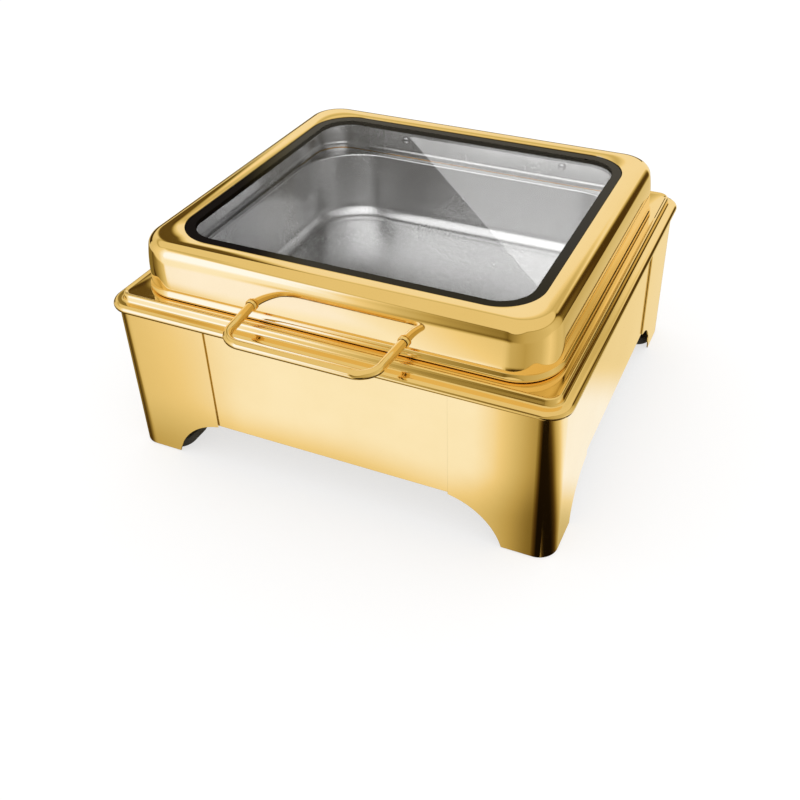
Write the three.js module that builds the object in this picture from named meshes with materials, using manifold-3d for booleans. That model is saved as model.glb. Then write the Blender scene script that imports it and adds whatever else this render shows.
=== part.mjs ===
// A square lift-lid chafing dish: a skirted body on four corner legs, a stepped deck, a water
// pan and a food pan hanging in it, and a hinged lid with a glass window and a bar handle.
// Millimetres. X runs along the front, -Y is the front, +Z is up, and the feet stand on z = 0.
import * as THREE from 'three';
import { mergeVertices } from 'three/addons/utils/BufferGeometryUtils.js';
import Module from 'manifold-3d';

const wasm = await Module();
wasm.setup();

// Driving dimensions.
const GAP = 0.3;                 // clearance between touching pieces
const SHEET = 1.2;               // skirt sheet
const CORNER_STEPS = 5;          // facets in a plan corner

const rim = { halfX: 215, halfY: 202, radius: 22, curl: 4, deckTop: 166, step: 6, sheet: 1 };
rim.edgeTop = rim.deckTop - rim.step;
const skirt = { inset: rim.curl + 0.6, top: rim.edgeTop - rim.sheet - 0.6, hem: 45.9, footGap: 1, lap: 12 };
const leg = { frontRun: 95.4, sideRun: 94, frontFoot: 45.4, sideFoot: 50.9, frontCrown: 60.5, sideCrown: 49.5 };
const pad = { half: 24, height: 9.5, radius: 16 };

const lid = { halfX: rim.halfX - 21.6, halfY: rim.halfY - 24.5, radius: 36.8, centreY: -2.7, sheet: 1,
  top: rim.deckTop + 49.6, belly: rim.deckTop + 13, bellyRadius: 150, shoulder: 11, hem: 2 };
lid.hemMid = rim.deckTop + lid.hem + 0.5;
const water = { halfX: lid.halfX - 3.9, halfY: lid.halfY - 10, radius: 75.5, lip: 5.5, sheet: 1,
  draft: 3, fillet: 14, centreY: -1 };
water.top = rim.deckTop + water.sheet + GAP;
water.floor = rim.deckTop - 90;
const food = { halfX: water.halfX - 2, halfY: water.halfY - 2, radius: water.radius - 2, lip: water.lip, sheet: 1,
  draft: 5, fillet: 16, centreY: water.centreY };
food.top = water.top + food.sheet + GAP;
food.floor = rim.deckTop - 69;

const glass = { halfX: lid.halfX - 25, halfY: lid.halfY - 25.5, radius: 39.7, centreY: -4.1, thick: 4 };
glass.top = lid.top - 0.8;
const seal = { inset: 0.4, width: 7, thick: 0.8 };
const liner = { gap: 0.4, sheet: 0.8, bottom: rim.deckTop + 6, shoulder: 8,
  openX: glass.halfX - 7.9, openY: glass.halfY - 8 };
liner.ledgeTop = glass.top - glass.thick - seal.thick - 2 * GAP;

const handle = { rodRadius: 4, rootX: 71, frontX: 67.5, rootZ: rim.deckTop + 14.5, frontZ: rim.deckTop + 13,
  reach: 53.8, bend: 18, ferruleLength: 3 };
handle.ferrule = handle.rodRadius + 1.4;
const screw = { head: 4.5, dome: 2.5, shank: 2.2, nutThick: 3 };
screw.hole = screw.shank + 0.4;
screw.nut = screw.shank + 1.2;

const faceX = rim.halfX - skirt.inset;
const faceY = rim.halfY - skirt.inset;
const faceRadius = rim.radius - skirt.inset;
const lidFront = lid.centreY - lid.halfY;
const lidRear = lid.centreY + lid.halfY;
const hinge = { y: lidRear + 13.2, z: rim.deckTop + 14, x: 91, pin: 3, earWidth: 5, armWidth: 16,
  plateX: 30, plateY: lidRear + 2 * GAP, plateThick: 2, plateLow: rim.deckTop + 8, plateHigh: rim.deckTop + 31,
  screwZ: rim.deckTop + 20, footLow: rim.deckTop + GAP, damper: 9, damperHalf: 70, capLength: 3 };
hinge.bore = hinge.pin + 0.4;
hinge.knuckle = hinge.pin + 3;
hinge.earRadius = hinge.knuckle + 0.5;
hinge.footY0 = hinge.y - 9.2;
hinge.footY1 = hinge.y - 0.8;
const handleFront = lidFront - handle.reach - handle.rodRadius;
const shiftY = -(handleFront + rim.halfY) / 2;

const finish = {
  gold: { color: 0xe9bd5c, metalness: 1, roughness: 0.12 },
  steel: { color: 0xb9bbbd, metalness: 1, roughness: 0.3 },
  glass: { color: 0xa9adb0, metalness: 0, roughness: 0.05 },
  black: { color: 0x0c0d10, metalness: 0, roughness: 0.55 },
};

const object = new THREE.Group();
const body = new THREE.Group();
body.position.y = shiftY;
object.add(body);

// Welds a geometry down to shared positions and drops triangles that have shrunk to a line.
function weld(geometry) {
  geometry.deleteAttribute('normal');
  geometry.deleteAttribute('uv');
  const merged = mergeVertices(geometry, 1e-4);
  const kept = [];
  for (let i = 0; i < merged.index.count; i += 3) {
    const [a, b, c] = [0, 1, 2].map((k) => merged.index.getX(i + k));
    if (a !== b && b !== c && c !== a) kept.push(a, b, c);
  }
  merged.setIndex(kept);
  return merged;
}

function toSolid(geometry) {
  const welded = weld(geometry);
  return new wasm.Manifold(new wasm.Mesh({
    numProp: 3,
    vertProperties: new Float32Array(welded.attributes.position.array),
    triVerts: new Uint32Array(welded.index.array),
  }));
}

function toGeometry(solid) {
  const mesh = solid.getMesh();
  const geometry = new THREE.BufferGeometry();
  geometry.setAttribute('position', new THREE.BufferAttribute(new Float32Array(mesh.vertProperties), 3));
  geometry.setIndex(new THREE.BufferAttribute(new Uint32Array(mesh.triVerts), 1));
  return geometry;
}

function cut(geometry, ...tools) {
  return toGeometry(tools.reduce((solid, tool) => solid.subtract(toSolid(tool)), toSolid(geometry)));
}

function join(...pieces) {
  return toGeometry(pieces.map(toSolid).reduce((a, b) => a.add(b)));
}

function add(name, geometry, look) {
  const shape = weld(geometry);
  shape.computeVertexNormals();
  const mesh = new THREE.Mesh(shape, new THREE.MeshStandardMaterial(look));
  mesh.name = name;
  body.add(mesh);
  return mesh;
}

// A closed outline of a rectangle with four equal rounded corners, centred on (0, centreY).
function roundedRect(halfX, halfY, radius, centreY = 0, steps = CORNER_STEPS) {
  const points = [];
  const corners = [[1, 1, 0], [-1, 1, 1], [-1, -1, 2], [1, -1, 3]];
  for (const [sx, sy, quarter] of corners) {
    for (let i = 0; i <= steps; i++) {
      const a = (quarter + i / steps) * Math.PI / 2;
      points.push(new THREE.Vector2(sx * (halfX - radius) + radius * Math.cos(a),
        centreY + sy * (halfY - radius) + radius * Math.sin(a)));
    }
  }
  return new THREE.Shape(points);
}

function prism(shape, low, high) {
  const geometry = new THREE.ExtrudeGeometry(shape, { depth: high - low, bevelEnabled: false });
  return geometry.translate(0, 0, low);
}

// A side view drawn as (y, z) and given a width along X.
function sideways(shape, x0, x1) {
  const geometry = new THREE.ExtrudeGeometry(shape, { depth: x1 - x0, bevelEnabled: false });
  const axes = new THREE.Matrix4().makeBasis(
    new THREE.Vector3(0, 1, 0), new THREE.Vector3(0, 0, 1), new THREE.Vector3(1, 0, 0));
  return geometry.applyMatrix4(axes).translate(x0, 0, 0);
}

function rodAlongX(radius, x0, x1, y, z, sides = 16) {
  const geometry = new THREE.CylinderGeometry(radius, radius, x1 - x0, sides);
  return geometry.rotateZ(-Math.PI / 2).translate((x0 + x1) / 2, y, z);
}

function rodAlongY(radius, y0, y1, x, z, sides = 12) {
  const geometry = new THREE.CylinderGeometry(radius, radius, y1 - y0, sides);
  return geometry.translate(0, (y0 + y1) / 2, 0).translate(x, 0, z);
}

// Spins a profile of [inset, height] pairs round a rounded rectangle. The inset is measured in
// from the outline, an inset of Infinity lies on the middle, and the profile runs from inside
// out along its underside and back along its top.
function rimmed(profile, { halfX, halfY, radius, centreY = 0 }, steps = CORNER_STEPS) {
  const columns = 4 * (steps + 1);
  const closed = profile[0][0] === Infinity ? profile : [...profile, profile[0]];
  const spun = new THREE.LatheGeometry(
    closed.map(([inset, z]) => new THREE.Vector2(inset === Infinity ? 0 : radius + 1, z)), columns);
  const place = spun.attributes.position;
  for (let column = 0; column <= columns; column++) {
    const quarter = Math.floor(column / (steps + 1)) % 4;
    const angle = (quarter + (column % (steps + 1)) / steps) * Math.PI / 2;
    const sx = quarter < 2 ? 1 : -1;
    const sy = quarter === 1 || quarter === 2 ? 1 : -1;
    closed.forEach(([inset, z], row) => {
      const round = Math.max(radius - inset, 2);
      const onAxis = inset === Infinity;
      const x = onAxis ? 0 : sx * (halfX - inset - round) + round * Math.sin(angle);
      const y = onAxis ? 0 : sy * (halfY - inset - round) - round * Math.cos(angle);
      place.setXYZ(column * closed.length + row, x, centreY + y, z);
    });
  }
  return spun;
}

// Points of an arc from angle a0 to a1 (degrees), as [inset, height]; 0 degrees faces outward.
function bow(inset, z, radius, a0, a1, steps) {
  return Array.from({ length: steps + 1 }, (_, i) => {
    const a = THREE.MathUtils.degToRad(a0 + (a1 - a0) * i / steps);
    return [inset - radius * Math.cos(a), z + radius * Math.sin(a)];
  });
}

// Deck: a rolled outer edge, a flat ledge, a step up with a raised bead, then the deck itself,
// open in the middle for the pans.
function deck() {
  const { curl, edgeTop, deckTop, sheet } = rim;
  const curlZ = edgeTop - curl;
  const profile = [
    [Infinity, deckTop - sheet], [13.8, deckTop - sheet], [12.8, deckTop - 0.6], [12.2, deckTop],
    [11.6, deckTop - 0.3], [10.3, edgeTop + 0.6], [9.6, edgeTop - 0.6], [8.3, edgeTop - sheet],
    ...bow(curl, curlZ, curl - sheet, 90, -75, 4),
    ...bow(curl, curlZ, curl, -78, 90, 5),
    [8, edgeTop], [9.2, edgeTop + 0.8], [10.6, deckTop + 0.2], [11.3, deckTop + 1],
    [12.6, deckTop + 1], [13.4, deckTop + 0.3], [14.4, deckTop], [Infinity, deckTop],
  ];
  const inset = water.lip - water.sheet - 1;
  const mouth = roundedRect(water.halfX - inset, water.halfY - inset, water.radius - inset, water.centreY);
  return cut(rimmed(profile, rim), prism(mouth, deckTop - 20, deckTop + 20));
}

// A leg is a sheet bent round one corner of the body; arches under both of its wings leave a foot.
function legPlan(sx, sy) {
  const bend = (radius) => Array.from({ length: CORNER_STEPS + 1 }, (_, i) => {
    const a = i / CORNER_STEPS * Math.PI / 2;
    return [faceX - faceRadius + radius * Math.sin(a), faceY - faceRadius + radius * Math.cos(a)];
  });
  const seamX = faceX - leg.frontRun + GAP / 2;
  const seamY = faceY - leg.sideRun + GAP / 2;
  const outline = [[seamX, faceY], ...bend(faceRadius), [faceX, seamY], [faceX - SHEET, seamY],
    ...bend(faceRadius - SHEET).reverse(), [seamX, faceY - SHEET]];
  return new THREE.Shape(outline.map(([x, y]) => new THREE.Vector2(sx * x, sy * y)));
}

// The outline under one wing: flat to the crown of the arch, then a falling arc to the foot.
function archOutline(footAt, crownRun) {
  const crown = footAt - crownRun;
  const radius = (crownRun ** 2 + skirt.hem ** 2) / (2 * skirt.hem);
  const centreZ = skirt.hem - radius;
  const arc = Array.from({ length: 13 }, (_, i) => {
    const x = crown + (crownRun + 0.6) * i / 12;
    return new THREE.Vector2(x, centreZ + Math.sqrt(Math.max(radius ** 2 - (x - crown) ** 2, 0)));
  });
  const last = arc[arc.length - 1];
  return new THREE.Shape([new THREE.Vector2(0, -5), new THREE.Vector2(0, skirt.hem), ...arc,
    new THREE.Vector2(last.x, -5)]);
}

function cornerLeg(sx, sy) {
  const sheet = prism(legPlan(sx, sy), skirt.footGap, skirt.top);
  const front = new THREE.ExtrudeGeometry(archOutline(faceX - leg.frontFoot, leg.frontCrown),
    { depth: 2 * faceY + 40, bevelEnabled: false });
  front.rotateX(Math.PI / 2).translate(0, faceY + 20, 0);
  const side = sideways(archOutline(faceY - leg.sideFoot, leg.sideCrown), -faceX - 20, faceX + 20);
  if (sx < 0) front.rotateZ(Math.PI);
  if (sy < 0) side.rotateZ(Math.PI);
  return cut(sheet, front, side);
}

// A flat panel between two legs, lapped behind the leg sheets at both ends.
function panelPlan(halfWidth, face, flip, alongY) {
  const end = halfWidth + skirt.lap;
  const front = face - SHEET - GAP;
  const outline = [[-end, front], [end, front], [end, front - SHEET], [-end, front - SHEET]];
  return new THREE.Shape(outline.map(([u, v]) => (alongY
    ? new THREE.Vector2(flip * v, u) : new THREE.Vector2(u, flip * v))));
}

// A pressed pan: a flat lip, a sloping wall, a rounded foot and a flat floor.
function pressedPan(pan) {
  const { lip, top, floor, sheet, draft, fillet } = pan;
  const foot = lip + draft;
  const profile = [
    [Infinity, floor - sheet], ...bow(foot - sheet + fillet + sheet, floor + fillet, fillet + sheet, -90, -4, 4),
    [lip - sheet, top - sheet - 1], [lip - sheet - 0.6, top - sheet], [0, top - sheet], [0, top],
    [lip - 1.6, top], [lip, top - 1.6],
    ...bow(foot + fillet, floor + fillet, fillet, -4, -90, 4), [Infinity, floor],
  ];
  return rimmed(profile, pan);
}

// How far the bulging lid wall has drawn in at a height.
function bellyInset(z) {
  return lid.bellyRadius - Math.sqrt(lid.bellyRadius ** 2 - (z - lid.belly) ** 2);
}

const screwHoles = () => [-1, 1].flatMap((side) => [
  rodAlongY(screw.hole, lidRear - 12, lidRear + 12, side * hinge.x, hinge.screwZ),
  rodAlongY(screw.hole, lidFront - 12, lidFront + 12, side * handle.rootX, handle.rootZ),
]);

// Lid: rolled lower hem, bulging wall, rounded shoulder and a flat top with the window cut out.
function lidShell() {
  const { top, sheet, belly, bellyRadius, shoulder, hem, hemMid } = lid;
  const run = bellyRadius - shoulder;
  const midZ = top - shoulder;
  const midInset = bellyRadius - Math.sqrt(run ** 2 - (midZ - belly) ** 2);
  const lean = THREE.MathUtils.radToDeg(Math.asin((midZ - belly) / run));
  const heights = [-6, 2, 10, 18, 24].map((rise) => belly + rise);
  const profile = [
    [Infinity, top - sheet], ...bow(midInset, midZ, shoulder - sheet, 90, lean, 4),
    ...heights.map((z) => [bellyInset(z) + sheet, z]).reverse(),
    ...bow(0.2, hemMid, hem, 140, 400, 9).map(([inset, z]) => [inset, z]),
    ...heights.map((z) => [bellyInset(z), z]),
    ...bow(midInset, midZ, shoulder, lean, 90, 5), [Infinity, top],
  ];
  const edge = glass.halfX + 0.4;
  const window_ = roundedRect(edge, glass.halfY + 0.4, glass.radius + 0.4, glass.centreY, 8);
  return cut(rimmed(profile, lid, 7), prism(window_, top - 30, top + 10), ...screwHoles());
}

// Inner steel liner, with the ledge that carries the window glass.
function lidLiner() {
  const { gap, sheet, bottom, ledgeTop, shoulder } = liner;
  const skin = lid.sheet + gap;
  const midZ = ledgeTop - shoulder;
  const midInset = bellyInset(midZ) + skin + shoulder;
  const heights = [bottom, ...[2, 11, 18].map((rise) => lid.belly + rise)];
  const profile = [
    [Infinity, ledgeTop - sheet], ...bow(midInset, midZ, shoulder - sheet, 90, 6, 3),
    ...heights.map((z) => [bellyInset(z) + skin + sheet, z]).reverse(),
    ...heights.map((z) => [bellyInset(z) + skin, z]),
    ...bow(midInset, midZ, shoulder, 6, 90, 3), [Infinity, ledgeTop],
  ];
  const opening = roundedRect(liner.openX, liner.openY, glass.radius - 8, glass.centreY);
  return cut(rimmed(profile, lid), prism(opening, ledgeTop - 20, ledgeTop + 10), ...screwHoles());
}

function glassSeal() {
  const outer = roundedRect(glass.halfX - seal.inset, glass.halfY - seal.inset, glass.radius - seal.inset,
    glass.centreY);
  const reach = seal.inset + seal.width;
  outer.holes.push(roundedRect(glass.halfX - reach, glass.halfY - reach, glass.radius - reach, glass.centreY));
  return prism(outer, liner.ledgeTop + GAP, liner.ledgeTop + GAP + seal.thick);
}

// Bar handle: two legs out of the lid's front wall, closing in a little, and a bar across.
function handleRod() {
  const rootY = lidFront - 2 * GAP;
  const frontY = lidFront - handle.reach;
  const at = (x, y, z) => new THREE.Vector3(x, y, z);
  const legFoot = (side) => at(side * handle.rootX, rootY, handle.rootZ);
  const elbow = (side) => at(side * handle.frontX, frontY, handle.frontZ);
  const towards = (from, to, length) => from.clone().addScaledVector(to.clone().sub(from).normalize(), length);
  const path = new THREE.CurvePath();
  const legEnd = (side) => towards(elbow(side), legFoot(side), handle.bend);
  const barEnd = (side) => towards(elbow(side), elbow(-side), handle.bend);
  path.add(new THREE.LineCurve3(legFoot(-1), legEnd(-1)));
  path.add(new THREE.QuadraticBezierCurve3(legEnd(-1), elbow(-1), barEnd(-1)));
  path.add(new THREE.LineCurve3(barEnd(-1), barEnd(1)));
  path.add(new THREE.QuadraticBezierCurve3(barEnd(1), elbow(1), legEnd(1)));
  path.add(new THREE.LineCurve3(legEnd(1), legFoot(1)));
  const section = new THREE.Shape(Array.from({ length: 12 }, (_, i) => new THREE.Vector2(
    handle.rodRadius * Math.cos(i * Math.PI / 6), handle.rodRadius * Math.sin(i * Math.PI / 6))));
  return new THREE.ExtrudeGeometry(section, { steps: 40, extrudePath: path, bevelEnabled: false });
}

function collar(side) {
  const { rodRadius, ferrule, ferruleLength, rootX, rootZ } = handle;
  const y1 = lidFront - GAP;
  const tube = rodAlongY(ferrule, y1 - ferruleLength, y1, side * rootX, rootZ, 16);
  return cut(tube, rodAlongY(rodRadius + 0.6, y1 - ferruleLength - 5, y1 + 5, side * rootX, rootZ, 16));
}

// A domed screw lying along Y. The head's flat seat is at y = seat, and the shank runs the way
// of `towards` (+1 or -1) to y = end.
function domedScrew(x, z, seat, end, towards) {
  const { head, dome, shank } = screw;
  const length = Math.abs(end - seat);
  const profile = [[0, -dome], [head * 0.55, -dome * 0.85], [head * 0.9, -dome * 0.45], [head, 0], [shank, 0],
    [shank, length], [0, length]].map(([r, h]) => new THREE.Vector2(r, h));
  const geometry = new THREE.LatheGeometry(profile, 12);
  if (towards < 0) geometry.rotateX(Math.PI);
  return geometry.translate(x, seat, z);
}

// Fixed half of a hinge: a foot plate on the deck and two ears with the pin's bore.
function hingeBase(side) {
  const { y, z, x, earRadius, earWidth, armWidth, footLow, footY0, footY1 } = hinge;
  const inner = armWidth / 2 + GAP;
  const dome = Array.from({ length: 9 }, (_, i) => {
    const a = i / 8 * Math.PI;
    return new THREE.Vector2(y + earRadius * Math.cos(a), z + earRadius * Math.sin(a));
  });
  const ear = new THREE.Shape([new THREE.Vector2(footY0, footLow), new THREE.Vector2(footY1, footLow),
    new THREE.Vector2(footY1, footLow + 3), ...dome, new THREE.Vector2(footY0, footLow + 5)]);
  const ears = [-1, 1].map((way) => sideways(ear,
    side * x + Math.min(way * inner, way * (inner + earWidth)),
    side * x + Math.max(way * inner, way * (inner + earWidth))));
  const half = inner + earWidth + 6;
  const foot = new THREE.BoxGeometry(2 * half, footY1 - footY0, 2);
  foot.translate(side * x, (footY0 + footY1) / 2, footLow + 1);
  return cut(join(foot, ...ears), rodAlongX(hinge.bore, side * x - 40, side * x + 40, y, z));
}

// Moving half: a knuckle round the pin and a plate screwed to the lid's rear wall.
function hingeArm(side) {
  const { y, z, x, knuckle, armWidth, plateX, plateY, plateThick, plateLow, plateHigh } = hinge;
  const round = Array.from({ length: 11 }, (_, i) => {
    const a = (-0.5 + i / 10) * Math.PI;
    return new THREE.Vector2(y + knuckle * Math.cos(a), z + knuckle * Math.sin(a));
  });
  const link = new THREE.Shape([new THREE.Vector2(plateY, plateLow), ...round,
    new THREE.Vector2(y - knuckle, z + 2), new THREE.Vector2(plateY, z + 1)]);
  const arm = sideways(link, side * x - armWidth / 2, side * x + armWidth / 2);
  const plate = new THREE.BoxGeometry(plateX, plateThick, plateHigh - plateLow);
  plate.translate(side * x, plateY + plateThick / 2, (plateHigh + plateLow) / 2);
  return cut(join(arm, plate), rodAlongX(hinge.bore, side * x - 40, side * x + 40, y, z),
    rodAlongY(screw.hole, plateY - 3, plateY + plateThick + 3, side * x, hinge.screwZ));
}

function nut(side) {
  const y0 = hinge.plateY + hinge.plateThick + GAP;
  const hex = rodAlongY(screw.nut, y0, y0 + screw.nutThick, side * hinge.x, hinge.screwZ, 6);
  return cut(hex, rodAlongY(screw.shank + GAP, y0 - 5, y0 + 9, side * hinge.x, hinge.screwZ));
}

const sides = [[-1, 'left'], [1, 'right']];

// Body: legs, panels, foot pads, deck.
for (const [sx, sideName] of sides) {
  for (const [sy, endName] of [[-1, 'front'], [1, 'rear']]) {
    add(`leg_${endName}_${sideName}`, cornerLeg(sx, sy), finish.gold);
    const block = prism(roundedRect(pad.half, pad.half, pad.radius), 0, pad.height);
    const reach = SHEET + 0.5 + pad.half;
    add(`foot_pad_${endName}_${sideName}`,
      block.translate(sx * (faceX - reach), sy * (faceY - reach), 0), finish.black);
  }
}
const panelX = faceX - leg.frontRun;
const panelY = faceY - leg.sideRun;
add('panel_front', prism(panelPlan(panelX, faceY, -1, false), skirt.hem, skirt.top), finish.gold);
add('panel_rear', prism(panelPlan(panelX, faceY, 1, false), skirt.hem, skirt.top), finish.gold);
add('panel_left', prism(panelPlan(panelY, faceX, -1, true), skirt.hem, skirt.top), finish.gold);
add('panel_right', prism(panelPlan(panelY, faceX, 1, true), skirt.hem, skirt.top), finish.gold);
add('deck_frame', deck(), finish.gold);

// Pans.
add('water_pan', pressedPan(water), finish.steel);
add('food_pan', pressedPan(food), finish.steel);

// Lid and window.
add('lid_shell', lidShell(), finish.gold);
add('lid_liner', lidLiner(), finish.steel);
add('glass_seal', glassSeal(), finish.black);
add('lid_glass', prism(roundedRect(glass.halfX, glass.halfY, glass.radius, glass.centreY, 8),
  glass.top - glass.thick, glass.top), finish.glass);

// Handle, with its collars and the screws that hold it from inside the lid.
add('handle_bar', handleRod(), finish.gold);
const linerSkin = lid.sheet + liner.gap + liner.sheet;
for (const [side, sideName] of sides) {
  add(`handle_collar_${sideName}`, collar(side), finish.gold);
  const seat = lidFront + linerSkin + bellyInset(handle.rootZ) + GAP;
  add(`handle_screw_${sideName}`,
    domedScrew(side * handle.rootX, handle.rootZ, seat, lidFront - GAP, -1), finish.steel);
}

// Rear hinges, pin and damper.
for (const [side, sideName] of sides) {
  add(`hinge_base_${sideName}`, hingeBase(side), finish.steel);
  add(`hinge_arm_${sideName}`, hingeArm(side), finish.steel);
  const seat = lidRear - linerSkin - bellyInset(hinge.screwZ) - GAP;
  const end = hinge.plateY + hinge.plateThick + GAP + screw.nutThick + 0.6;
  add(`hinge_screw_${sideName}`, domedScrew(side * hinge.x, hinge.screwZ, seat, end, 1), finish.steel);
  add(`hinge_nut_${sideName}`, nut(side), finish.steel);
}
const pinHalf = hinge.x + hinge.armWidth / 2 + GAP + hinge.earWidth + 1;
add('hinge_pin', rodAlongX(hinge.pin, -pinHalf, pinHalf, hinge.y, hinge.z), finish.steel);
for (const [side, sideName] of sides) {
  const x0 = side * (pinHalf + GAP);
  const x1 = side * (pinHalf + GAP + hinge.capLength);
  add(`hinge_cap_${sideName}`,
    rodAlongX(hinge.earRadius - 1, Math.min(x0, x1), Math.max(x0, x1), hinge.y, hinge.z), finish.steel);
}
add('hinge_damper', cut(rodAlongX(hinge.damper, -hinge.damperHalf, hinge.damperHalf, hinge.y, hinge.z),
  rodAlongX(hinge.bore, -hinge.damperHalf - 5, hinge.damperHalf + 5, hinge.y, hinge.z)), finish.black);

export default object;
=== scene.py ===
import math

import bpy
from mathutils import Matrix, Vector


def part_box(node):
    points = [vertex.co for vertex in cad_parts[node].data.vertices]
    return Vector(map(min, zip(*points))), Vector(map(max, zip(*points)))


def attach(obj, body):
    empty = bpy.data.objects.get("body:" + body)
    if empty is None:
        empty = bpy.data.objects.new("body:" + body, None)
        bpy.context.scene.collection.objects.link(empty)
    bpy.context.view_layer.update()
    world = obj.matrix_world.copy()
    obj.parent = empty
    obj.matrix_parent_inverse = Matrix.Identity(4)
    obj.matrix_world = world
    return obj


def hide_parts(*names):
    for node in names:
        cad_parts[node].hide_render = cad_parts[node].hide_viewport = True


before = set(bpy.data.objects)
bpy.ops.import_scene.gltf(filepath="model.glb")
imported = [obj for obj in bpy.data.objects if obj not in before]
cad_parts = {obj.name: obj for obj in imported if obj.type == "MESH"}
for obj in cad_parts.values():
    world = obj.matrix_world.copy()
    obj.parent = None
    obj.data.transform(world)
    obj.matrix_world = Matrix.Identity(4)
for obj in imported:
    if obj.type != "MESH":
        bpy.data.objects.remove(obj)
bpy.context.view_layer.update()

MM = 0.001

# Camera: stands at the front right-hand corner of the dish and looks down on it. Its view is
# shifted so that the dish lies in the upper half.
camera_azimuth, camera_elevation, camera_roll = (math.radians(a) for a in (22.9, 35.12, -0.17))
aim = Vector((0.0398, 0.0055, 0.0547))
camera_distance = 1.0

back = Vector((math.sin(camera_azimuth) * math.cos(camera_elevation),
               -math.cos(camera_azimuth) * math.cos(camera_elevation), math.sin(camera_elevation)))
level = Vector((0, 0, 1)).cross(back).normalized()
upright = back.cross(level)
across = level * math.cos(camera_roll) + upright * math.sin(camera_roll)
camera = bpy.data.objects.new("camera", bpy.data.cameras.new("camera"))
camera.data.sensor_width, camera.data.lens = 36, 44.5
camera.data.shift_x = camera.data.shift_y = -0.0625
camera.matrix_world = Matrix.Translation(aim + back * camera_distance) @ Matrix(
    (across, back.cross(across), back)).transposed().to_4x4()
bpy.context.scene.collection.objects.link(camera)
bpy.context.scene.camera = camera
bpy.context.scene.view_settings.view_transform = "Standard"


# Studio: a pale tent all round the dish. Polished metal sees it as a bright shell with an amber
# glow low down and a few dark gaps between its panels; everything else sees an even white light.
class Flow:
    """A socket in a node tree. Arithmetic on it adds Math nodes, and node() adds any other."""

    def __init__(self, tree, socket=None):
        self.tree, self.socket = tree, socket

    def node(self, kind, settings=None, values=None):
        made = self.tree.nodes.new(kind)
        for name, value in (settings or {}).items():
            if name == "stops":
                ramp = made.color_ramp.elements
                while len(ramp) < len(value):
                    ramp.new(1)
                for stop, (place, colour) in zip(ramp, value):
                    stop.position, stop.color = place, (*colour, 1)
            else:
                setattr(made, name, value)
        for socket, value in (values or {}).items():
            if isinstance(value, Flow):
                self.tree.links.new(value.socket, made.inputs[socket])
            else:
                made.inputs[socket].default_value = value
        return made

    def take(self, kind, output, settings=None, values=None):
        return Flow(self.tree, self.node(kind, settings, values).outputs[output])

    def maths(self, operation, *values):
        return self.take("ShaderNodeMath", 0, {"operation": operation}, dict(enumerate(values)))

    def ease(self, low, high):
        return self.take("ShaderNodeMapRange", 0, {"interpolation_type": "SMOOTHSTEP"},
                         {0: self, 1: low, 2: high})

    def blend(self, other, share):
        return self + (other - self) * share

    def parts(self):
        return [self.take("ShaderNodeSeparateXYZ", axis, None, {0: self}) for axis in range(3)]

    def __add__(self, other):
        return self.maths("ADD", self, other)

    def __sub__(self, other):
        return self.maths("SUBTRACT", self, other)

    def __rsub__(self, other):
        return self.maths("SUBTRACT", other, self)

    def __mul__(self, other):
        return self.maths("MULTIPLY", self, other)

    def __truediv__(self, other):
        return self.maths("DIVIDE", self, other)

    def __pow__(self, other):
        return self.maths("POWER", self, other)

    def __gt__(self, other):
        return self.maths("GREATER_THAN", self, other)

    def __lt__(self, other):
        return self.maths("LESS_THAN", self, other)

    __radd__, __rmul__ = __add__, __mul__


world = bpy.data.worlds.new("studio")
bpy.context.scene.world = world
world.use_nodes = True
world.node_tree.nodes.clear()
tent = Flow(world.node_tree)
heading_x, heading_y, heading_z = tent.take("ShaderNodeTexCoord", "Generated").parts()
azimuth = heading_y.maths("ARCTAN2", heading_y, heading_x) * math.degrees(1)
elevation = heading_z.maths("ARCSINE", heading_z) * math.degrees(1)

# Brightness of the tent by azimuth: low down, at the level of the skirt's reflections, and above.
low_stops = [(-180, .1), (-160, .22), (-146, .4), (-140, .5), (-134.5, .6), (-131, .8), (-128, .97),
             (-125, 1), (-110.5, 1), (-107, .38), (-105, .17), (-88, .01), (-40, .01), (-22, .06), (-5, .2),
             (10, .4), (24, .55), (45, .85), (64, 1), (82, 1), (85, .15), (92, .12), (100, .5), (125, .55),
             (150, .12)]
middle_stops = [(-180, .12), (-160, .25), (-146, .42), (-140, .54), (-134.5, .62), (-131, .8), (-128, .96),
                (-125, 1), (-117, 1), (-114.5, .93), (-112, .85), (-109.5, .76), (-107, .66), (-104, .58),
                (-95, .45), (-60, .35), (-20, .5), (5, .75), (30, .55), (52, .55), (58, .5), (64, .45),
                (72, .6), (82, .8), (88, .3), (100, .5), (125, .55), (150, .2)]
upper_stops = [(-180, .6), (-145, .8), (-135, 1), (-117, 1), (-115, .78), (-112.5, .52), (-110, .34),
               (-107, .25), (-104, .17), (-98, .22), (-60, .4), (-20, .5), (10, .6), (35, .5), (47, .4),
               (51, .3), (55, .14), (59, .08), (64, .1), (68, .4), (73, .82), (128, .84), (140, .7),
               (160, .6)]


def round_the_tent(stops, heading):
    """Brightness by azimuth from a ramp over the whole turn."""
    return heading.take("ShaderNodeValToRGB", 0, {
        "stops": [((a + 180) / 360, (b, b, b)) for a, b in stops]}, {0: (heading + 180) / 360})


leaning = azimuth + (elevation + 42.3) * 11
on_right = (azimuth > -60) * (azimuth < 83)
low_heading = azimuth.blend(leaning.maths("MINIMUM", leaning, 80), on_right)
sill_slope = -38 - 0.3 * (azimuth + 126.3)
sill_height = sill_slope.maths("MAXIMUM", sill_slope, -42)
sill = 1 - 0.42 * (1 - (elevation - sill_height).ease(-3, 0.3))
low = round_the_tent(low_stops, low_heading)
middle = round_the_tent(middle_stops, azimuth)
upper = round_the_tent(upper_stops, azimuth)
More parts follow.
